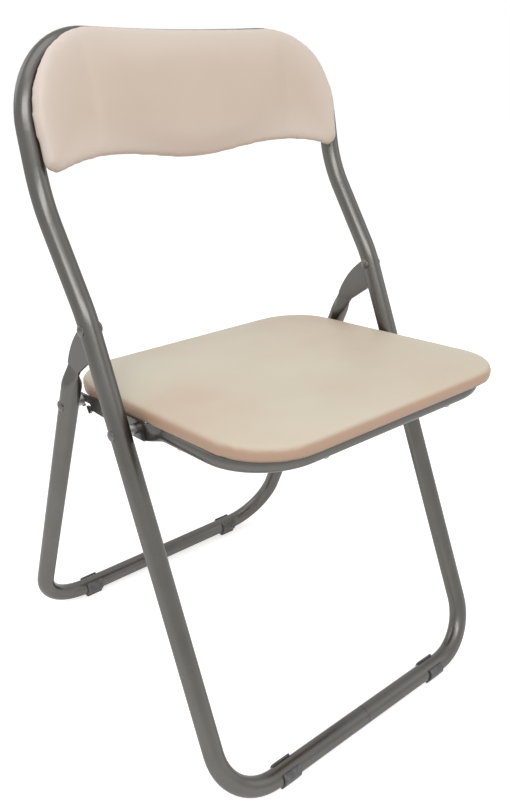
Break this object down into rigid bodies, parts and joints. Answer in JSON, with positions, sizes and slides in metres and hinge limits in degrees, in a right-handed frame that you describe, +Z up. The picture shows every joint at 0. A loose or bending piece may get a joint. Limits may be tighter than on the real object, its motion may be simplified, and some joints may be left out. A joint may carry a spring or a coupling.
{
  "type": "folding chair",
  "caption": "Folding pipe chair with a padded vinyl seat and a bowed padded backrest on a bent tube frame; the rear legs and seat fold flat against the front frame.",
  "frame": {"origin": "on the floor under the middle of the four feet, chair open", "axes": "+X to the sitter's left as seen from behind the chair's front (image right), -Y the way the sitter faces, +Z up"},
  "size_m": [0.4366, 0.4605, 0.7604],
  "materials": {
    "frame_paint": "satin grey metallic paint",
    "vinyl": "beige grained vinyl leathercloth",
    "board": "plywood",
    "plated_steel": "dull zinc-plated steel",
    "foot_plastic": "moulded dark grey plastic"
  },
  "bodies": {
    "front_frame": {"front_frame_tube": "frame_paint", "hinge_washers": "plated_steel", "backrest_board": "board", "backrest_pad": "vinyl", "backrest_tabs": "frame_paint", "backrest_screws": "plated_steel", "hinge_rivet_left": "plated_steel", "hinge_rivet_right": "plated_steel", "seat_hinge_rivet_left": "plated_steel", "seat_hinge_rivet_right": "plated_steel", "seat_hinge_bush_left": "plated_steel", "seat_hinge_bush_right": "plated_steel", "front_foot_pad_left": "foot_plastic", "front_foot_pad_right": "foot_plastic"},
    "rear_legs": {"rear_leg_tube": "frame_paint", "hook_pin_left": "plated_steel", "hook_pin_right": "plated_steel", "hook_pin_bush_left": "plated_steel", "hook_pin_bush_right": "plated_steel", "rear_foot_pad_left": "foot_plastic", "rear_foot_pad_right": "foot_plastic"},
    "seat": {"seat_rail_tube": "frame_paint", "seat_board": "board", "seat_pad": "vinyl", "seat_screws": "plated_steel"}
  },
  "joints": [
    {"name": "rear_leg_hinge", "type": "hinge", "parent": "front_frame", "child": "rear_legs", "pos_m": [0, 0.00851, 0.4876], "axis": [-1, 0, 0], "range_deg": [0, 42]},
    {"name": "seat_hinge", "type": "hinge", "parent": "front_frame", "child": "seat", "pos_m": [0, -0.03741, 0.39], "axis": [1, 0, 0], "range_deg": [0, 70]}
  ],
  "couplings": [
    {"joint": "seat_hinge", "follows": "rear_leg_hinge", "ratio": 1.6667}
  ]
}
